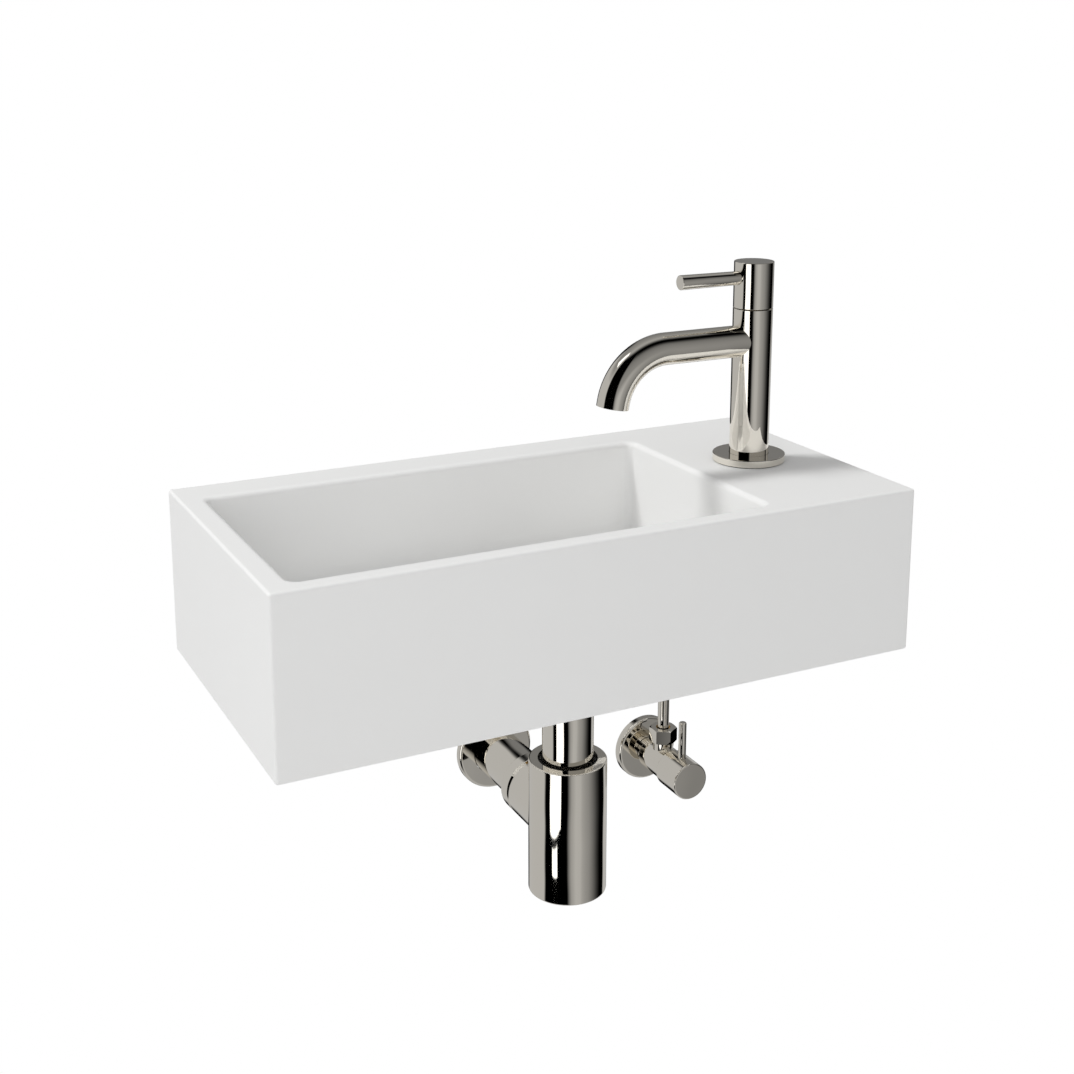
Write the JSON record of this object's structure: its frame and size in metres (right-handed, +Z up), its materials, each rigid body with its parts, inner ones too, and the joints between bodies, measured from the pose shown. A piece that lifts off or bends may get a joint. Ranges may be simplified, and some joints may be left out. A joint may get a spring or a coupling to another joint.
{
  "type": "wall-hung hand basin with tap",
  "caption": "Small rectangular wall-hung hand basin with a pillar tap on its side deck, bottle trap and angle stop valve below; lever and valve handle turn.",
  "frame": {"origin": "on the wall's face, midway between the two wall-fixing holes in the basin's back", "axes": "+Z up, +Y into the wall, +X to the right along the wall; the front faces -Y"},
  "size_m": [0.4, 0.24, 0.388],
  "materials": {
    "cast_basin": "matte",
    "nickel": "polished",
    "raw_brass": "satin",
    "zinced_steel": "satin",
    "black_rubber": "matte",
    "disc_ceramic": "satin",
    "grey_plastic": "matte",
    "white_plastic": "matte"
  },
  "bodies": {
    "basin_and_fittings": {"basin": "cast_basin", "waste_body": "nickel", "waste_cap": "nickel", "coupling_nut": "nickel", "inlet_tube": "nickel", "trap_body": "nickel", "trap_base_plug": "nickel", "outlet_nut": "nickel", "wall_pipe": "nickel", "drain_rosette": "nickel", "tap_flange": "nickel", "tap_body": "nickel", "tap_spout": "nickel", "aerator_housing": "nickel", "supply_tube": "nickel", "tail_nut": "nickel", "valve_rosette": "nickel", "valve_body": "nickel", "valve_outlet_nut": "nickel", "waste_back_nut": "raw_brass", "headwork_body": "raw_brass", "tap_back_nut": "raw_brass", "valve_olive": "raw_brass", "valve_gland": "raw_brass", "deck_steel_washer": "zinced_steel", "waste_upper_seal": "black_rubber", "waste_lower_seal": "black_rubber", "coupling_washer": "black_rubber", "trap_tube_seal": "black_rubber", "trap_plug_ring": "black_rubber", "outlet_seal": "black_rubber", "tap_base_seal": "black_rubber", "spindle_o_ring": "black_rubber", "seat_seal": "black_rubber", "aerator_washer": "black_rubber", "deck_rubber_washer": "black_rubber", "tail_washer": "black_rubber", "valve_stem_ring": "black_rubber", "fixed_disc": "disc_ceramic", "aerator_grid": "grey_plastic", "valve_seat": "white_plastic"},
    "tap_handle": {"tap_head": "nickel", "tap_lever": "nickel", "headwork_spindle": "raw_brass", "moving_disc": "disc_ceramic"},
    "stop_valve_handle": {"valve_handle": "nickel", "valve_pin": "nickel", "valve_stem": "raw_brass", "valve_ball": "raw_brass"}
  },
  "joints": [
    {"name": "tap_turn", "type": "hinge", "parent": "basin_and_fittings", "child": "tap_handle", "pos_m": [0.148, -0.1, 0.208], "axis": [0, 0, 1], "range_deg": [0, 90]},
    {"name": "stop_valve_turn", "type": "hinge", "parent": "basin_and_fittings", "child": "stop_valve_handle", "pos_m": [0.133, -0.0525, -0.147], "axis": [0, 1, 0], "range_deg": [0, 90]}
  ]
}
